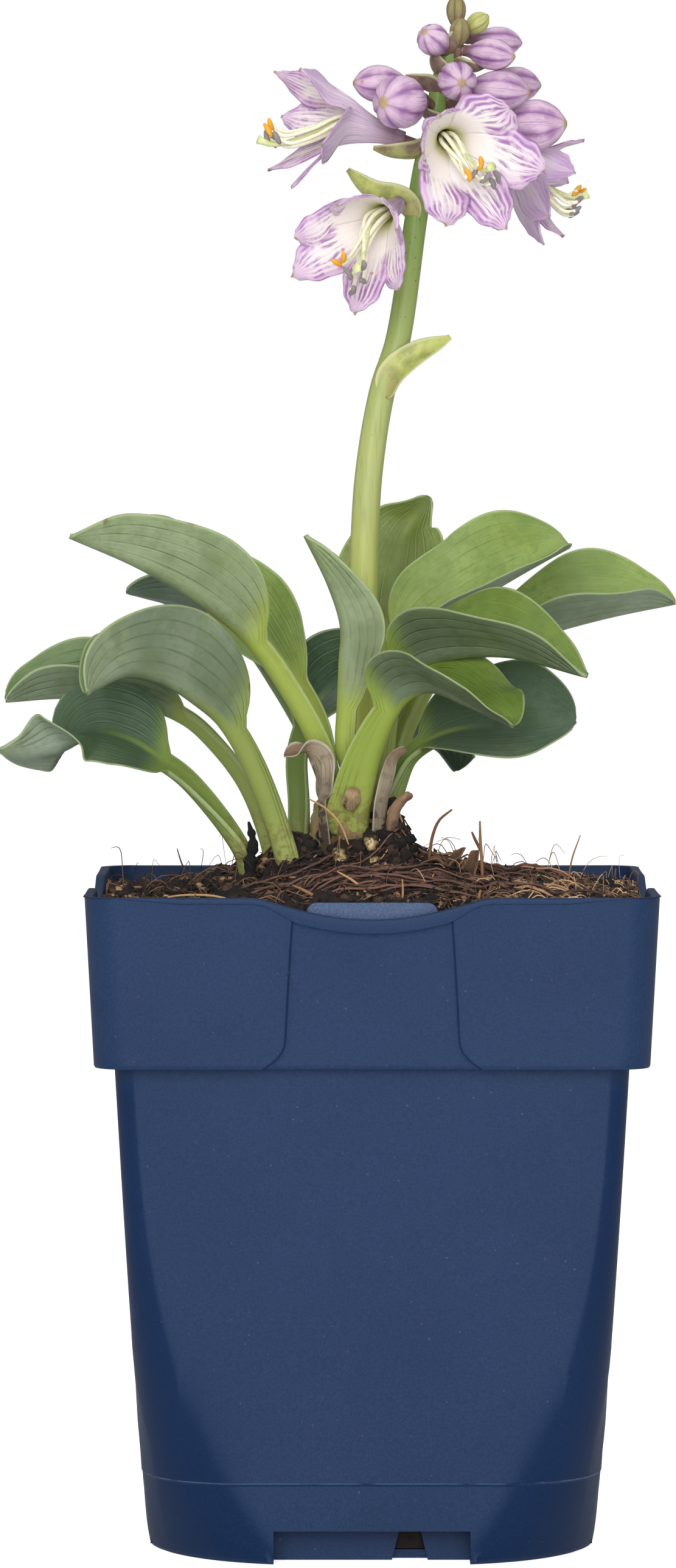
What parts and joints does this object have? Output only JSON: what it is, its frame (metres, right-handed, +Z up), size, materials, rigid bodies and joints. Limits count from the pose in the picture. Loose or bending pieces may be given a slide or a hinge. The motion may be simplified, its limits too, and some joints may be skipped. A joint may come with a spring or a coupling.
{
  "type": "potted hosta plant",
  "caption": "Small hosta in flower in a square tapered nursery pot: a clump of channelled leaves, a leaning flower stem with lilac bells and buds, dry sheaths and potting soil.",
  "frame": {"origin": "middle of the pot's flat underside", "axes": "+Z up, -Y out of the front face of the pot, which has the label pocket, +X to the right of the front view"},
  "size_m": [0.1273, 0.105, 0.2888],
  "materials": {
    "pot_plastic": "navy blue moulded plastic, finely speckled collar, smoother body",
    "potting_soil": "dark moist bark compost with fibres",
    "crown": "tan fibrous plant crown",
    "dry_sheath": "dry papery brown",
    "leaf": "satin green above, glaucous below",
    "stem": "satin yellow-green",
    "petal": "soft lilac with darker veins",
    "stamen": "pale cream",
    "bud": "satin mauve",
    "tip_bud": "satin pale green"
  },
  "bodies": {
    "root": {"pot": "pot_plastic", "leaf_12": "leaf", "leaf_01": "leaf", "leaf_07": "leaf", "leaf_11": "leaf", "leaf_13": "leaf", "leaf_02": "leaf", "leaf_09": "leaf", "leaf_04": "leaf", "leaf_05": "leaf", "leaf_06": "leaf", "leaf_03": "leaf", "leaf_08": "leaf", "leaf_10": "leaf", "leaf_15": "leaf", "leaf_14": "leaf", "dry_sheath_left": "dry_sheath", "dry_sheath_right": "dry_sheath", "old_stalk_stump": "dry_sheath", "flower_stem": "stem", "crown": "crown", "soil": "potting_soil", "bloom_1": "petal", "stamens_1": "stamen", "bloom_2": "petal", "stamens_2": "stamen", "bloom_3": "petal", "stamens_3": "stamen", "bloom_4": "petal", "stamens_4": "stamen", "bud_1": "bud", "bud_2": "bud", "bud_3": "bud", "bud_4": "bud", "bud_5": "bud", "bud_6": "bud", "bud_7": "bud", "bud_8": "bud", "bud_9": "bud", "tip_bud_1": "tip_bud", "tip_bud_2": "tip_bud", "tip_bud_3": "tip_bud"}
  },
  "joints": []
}
